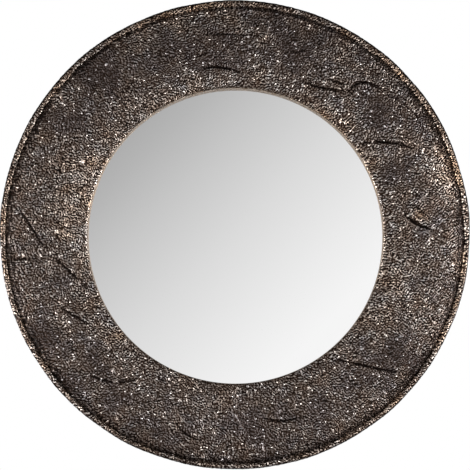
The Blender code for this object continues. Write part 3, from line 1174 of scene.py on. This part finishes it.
@dataclass
class BackFittings:
    """The hardboard back, the keyhole hanger plate and the countersunk screws."""

    board_edge: float = 0.0005
    plate_edge: float = 0.0003
    head_radius: float = 0.0035
    shank_radius: float = 0.00175
    screw_length: float = 0.014
    screw_sides: int = 24
    cross_reach: float = 0.0019
    cross_width: float = 0.0008
    cross_depth: float = 0.0014
    turn_apart: float = 0.9
    eased_degrees: float = 50
    sharp_degrees: float = 20
    weld: float = 0.00001

    def eased_copy(
        self, node: str, name: str, edge: float, material: bpy.types.Material
    ) -> bpy.types.Object:
        """Copies a CAD node's mesh and eases its sharp edges.

        Args:
            node: The CAD node.
            name: The new piece's name.
            edge: Width of the easing.
            material: The piece's material.

        Returns:
            The new piece.
        """
        shape = bmesh.new()
        shape.from_mesh(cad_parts[node].data)
        bmesh.ops.remove_doubles(shape, verts=shape.verts, dist=self.weld)
        bmesh.ops.dissolve_limit(shape, angle_limit=math.radians(1), verts=shape.verts, edges=shape.edges)
        least = math.radians(self.eased_degrees)
        sharp = [edge for edge in shape.edges if edge.is_manifold and edge.calc_face_angle() > least]
        bmesh.ops.bevel(
            shape,
            geom=sharp,
            offset=edge,
            segments=2,
            profile=0.5,
            affect="EDGES",
            material=-1,
            clamp_overlap=True,
        )
        piece = to_object(name, shape, material)
        smooth(piece, self.sharp_degrees)
        return piece

    def screw(self, steel: bpy.types.Material) -> bpy.types.Object:
        """A countersunk screw, its head's middle at the origin and its point towards the room."""
        shape = bmesh.new()
        outline = [
            (0.0, 0.0),
            (self.head_radius, 0.0),
            (self.shank_radius, self.head_radius - self.shank_radius),
            (self.shank_radius, self.screw_length - 2 * self.shank_radius),
            (0.0, self.screw_length),
        ]
        points = [shape.verts.new((radius, -height, 0.0)) for radius, height in outline]
        edges = [shape.edges.new(pair) for pair in zip(points, points[1:])]
        bmesh.ops.spin(
            shape,
            geom=points + edges,
            cent=ORIGIN,
            axis=(0.0, 1.0, 0.0),
            angle=math.tau,
            steps=self.screw_sides,
            use_merge=True,
        )
        bmesh.ops.remove_doubles(shape, verts=shape.verts, dist=self.weld)
        bmesh.ops.recalc_face_normals(shape, faces=shape.faces)
        made = to_object("countersunk_screw", shape, steel)
        cross = bmesh.new()
        half = self.cross_width / 2
        block(cross, Vector((-half, -self.cross_depth, -half)), Vector((half, self.cross_depth, half)))
        sides = [face for face in cross.faces if abs(face.normal.y) < 0.5]
        for face in bmesh.ops.extrude_discrete_faces(cross, faces=sides)["faces"]:
            bmesh.ops.translate(cross, verts=face.verts, vec=face.normal * (self.cross_reach - half))
        bmesh.ops.recalc_face_normals(cross, faces=cross.faces)
        carve(made, [to_object("cross_recess", cross)])
        return made

    def build(self) -> None:
        """Builds the board, the plate and every screw."""
        steel = ZincPlate().material()
        board = self.eased_copy("backing_board", "hardboard_back", self.board_edge, Hardboard().material())
        settle(board, "backing_board")
        plate = self.eased_copy("keyhole_plate", "keyhole_hanger", self.plate_edge, steel)
        settle(plate, "keyhole_plate")
        pattern = self.screw(steel)
        for number, node in enumerate(sorted(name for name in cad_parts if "screw" in name)):
            low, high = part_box(node)
            head = Vector(((low.x + high.x) / 2, high.y, (low.z + high.z) / 2))
            mesh = pattern.data.copy()
            mesh.transform(Matrix.Translation(head) @ Matrix.Rotation(self.turn_apart * number, 4, "Y"))
            screw = bpy.data.objects.new("cross_head_" + node, mesh)
            bpy.context.scene.collection.objects.link(screw)
            smooth(screw, self.sharp_degrees)
            settle(screw, node)
        bpy.data.objects.remove(pattern)


@dataclass
class Studio:
    """The camera, the pale floor and the soft lights."""

    camera_distance: float = 3.6
    camera_below_degrees: float = 4.0
    view_width: float = 0.8002
    aim: Vector = Vector((0.00055, -0.02, -0.0030))
    floor_drop: float = 1.6
    floor_radius: float = 14.0
    floor_colour: str = "#f4f3f1"
    floor_glow: float = 0.45
    card_distance: float = 4.6
    card_size: float = 3.1
    card_lift: float = 0.32

    def stand(
        self, name: str, data: bpy.types.Camera | bpy.types.Light, place: Vector, facing: Vector
    ) -> bpy.types.Object:
        """Stands a camera or a light in the studio.

        Args:
            name: Its name.
            data: The camera or light.
            place: Where it stands.
            facing: Which way it looks.

        Returns:
            The new object.
        """
        obj = bpy.data.objects.new(name, data)
        obj.location = place
        obj.rotation_mode = "QUATERNION"
        obj.rotation_quaternion = facing.to_track_quat("-Z", "Y")
        bpy.context.scene.collection.objects.link(obj)
        return obj

    def camera(self) -> None:
        """A long lens from a little below, as the photograph was taken."""
        data = bpy.data.cameras.new("camera")
        down = math.radians(self.camera_below_degrees)
        back = Vector((0.0, -math.cos(down), -math.sin(down)))
        data.sensor_width = 36.0
        data.lens = data.sensor_width * self.camera_distance / self.view_width
        place = self.aim + back * self.camera_distance
        bpy.context.scene.camera = self.stand("camera", data, place, -back)

    def light(self, name: str, place: Vector, size: tuple[float, float], watts: float) -> None:
        """Adds a white softbox that faces the mirror.

        Args:
            name: The light's name.
            place: Where it stands.
            size: Its width and height.
            watts: Its power.
        """
        data = bpy.data.lights.new(name, "AREA")
        data.shape = "RECTANGLE"
        data.size, data.size_y = size
        data.energy = watts
        self.stand(name, data, place, -place)

    def world(self) -> None:
        """A white surround for the camera, and a dim one, darker above, for everything else."""
        made = bpy.data.worlds.new("studio")
        made.use_nodes = True
        bpy.context.scene.world = made
        tree = made.node_tree
        shown = add_node(tree, "LightPath")
        place = add_node(tree, "TexCoord")
        up = add_node(tree, "SeparateXYZ", {"Vector": place}).node.outputs["Z"]
        share = add_node(tree, "MapRange", {"Value": up, "From Min": -0.5, "From Max": 0.5})
        sky = add_node(
            tree, "ValToRGB", {"Fac": share}, stops=[(0.0, "#5e5e5e"), (0.5, "#696969"), (1.0, "#5e5e5e")]
        )
        seen = add_node(tree, "Mix", {"Factor": shown, "A": sky, "B": linear("#ffffff")}, data_type="RGBA")
        feed(tree.nodes["Background"], {"Color": seen})

    def floor(self) -> None:
        """A pale matt floor, well below the hanging mirror."""
        shape = bmesh.new()
        bmesh.ops.create_circle(
            shape,
            cap_ends=True,
            segments=96,
            radius=self.floor_radius,
            matrix=Matrix.Translation((0.0, 0.0, -self.floor_drop)),
        )
        made, _, shader = new_material("pale_floor")
        pale = linear(self.floor_colour)
        feed(shader, {"Base Color": pale, "Emission Color": pale, "Roughness": 0.9})
        feed(shader, {"Emission Strength": self.floor_glow})
        floor = to_object("floor", shape, made)
        floor.visible_glossy = False

    def card(self) -> None:
        """A glowing card behind the camera, which the glass shows: grey upper left, white lower right."""
        shape = bmesh.new()
        place = Matrix.Translation((0.0, -self.card_distance, self.card_lift)) @ TURN_TO_Y.inverted()
        bmesh.ops.create_grid(shape, x_segments=1, y_segments=1, size=self.card_size / 2, matrix=place)
        made, tree, _ = new_material("reflector_card")
        spot = add_node(tree, "TexCoord").node.outputs["Object"]
        apart = add_node(tree, "SeparateXYZ", {"Vector": spot}).node.outputs
        slant = add_node(tree, "Math", {0: apart["X"], 1: apart["Z"]}, operation="SUBTRACT")
        share = add_node(tree, "MapRange", {"Value": slant, "From Min": -1.32, "From Max": 0.68})
        glow = add_node(
            tree,
            "ValToRGB",
            {"Fac": share},
            stops=[
                (0.0, "#a4a4a4"),
                (0.17, "#b9b9b9"),
                (0.30, "#cacaca"),
                (0.50, "#dfdfdf"),
                (0.72, "#f1f1f1"),
                (0.85, "#fafafa"),
            ],
        )
        shine = add_node(tree, "Emission", {"Color": glow, "Strength": 1.0})
        feed(tree.nodes["Material Output"], {"Surface": shine})
        card = to_object("reflector_card", shape, made)
        card.visible_camera = False

    def build(self) -> None:
        """Sets the studio up."""
        self.camera()
        self.world()
        self.floor()
        self.card()
        self.light("left_softbox", Vector((-2.2, -1.5, -0.4)), (1.0, 1.6), 54.0)
        self.light("right_softbox", Vector((2.2, -1.5, -0.3)), (1.0, 1.6), 56.0)
        self.light("back_softbox", Vector((-2.4, 2.4, -0.6)), (1.6, 1.6), 70.0)
        bpy.context.scene.view_settings.view_transform = "Standard"


def main() -> None:
    """Builds the mirror and its studio."""
    logging.basicConfig(level=logging.INFO)
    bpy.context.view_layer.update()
    CastRing().build()
    SilveredPane().build()
    BackFittings().build()
    Studio().build()


if __name__ == "__main__":
    main()
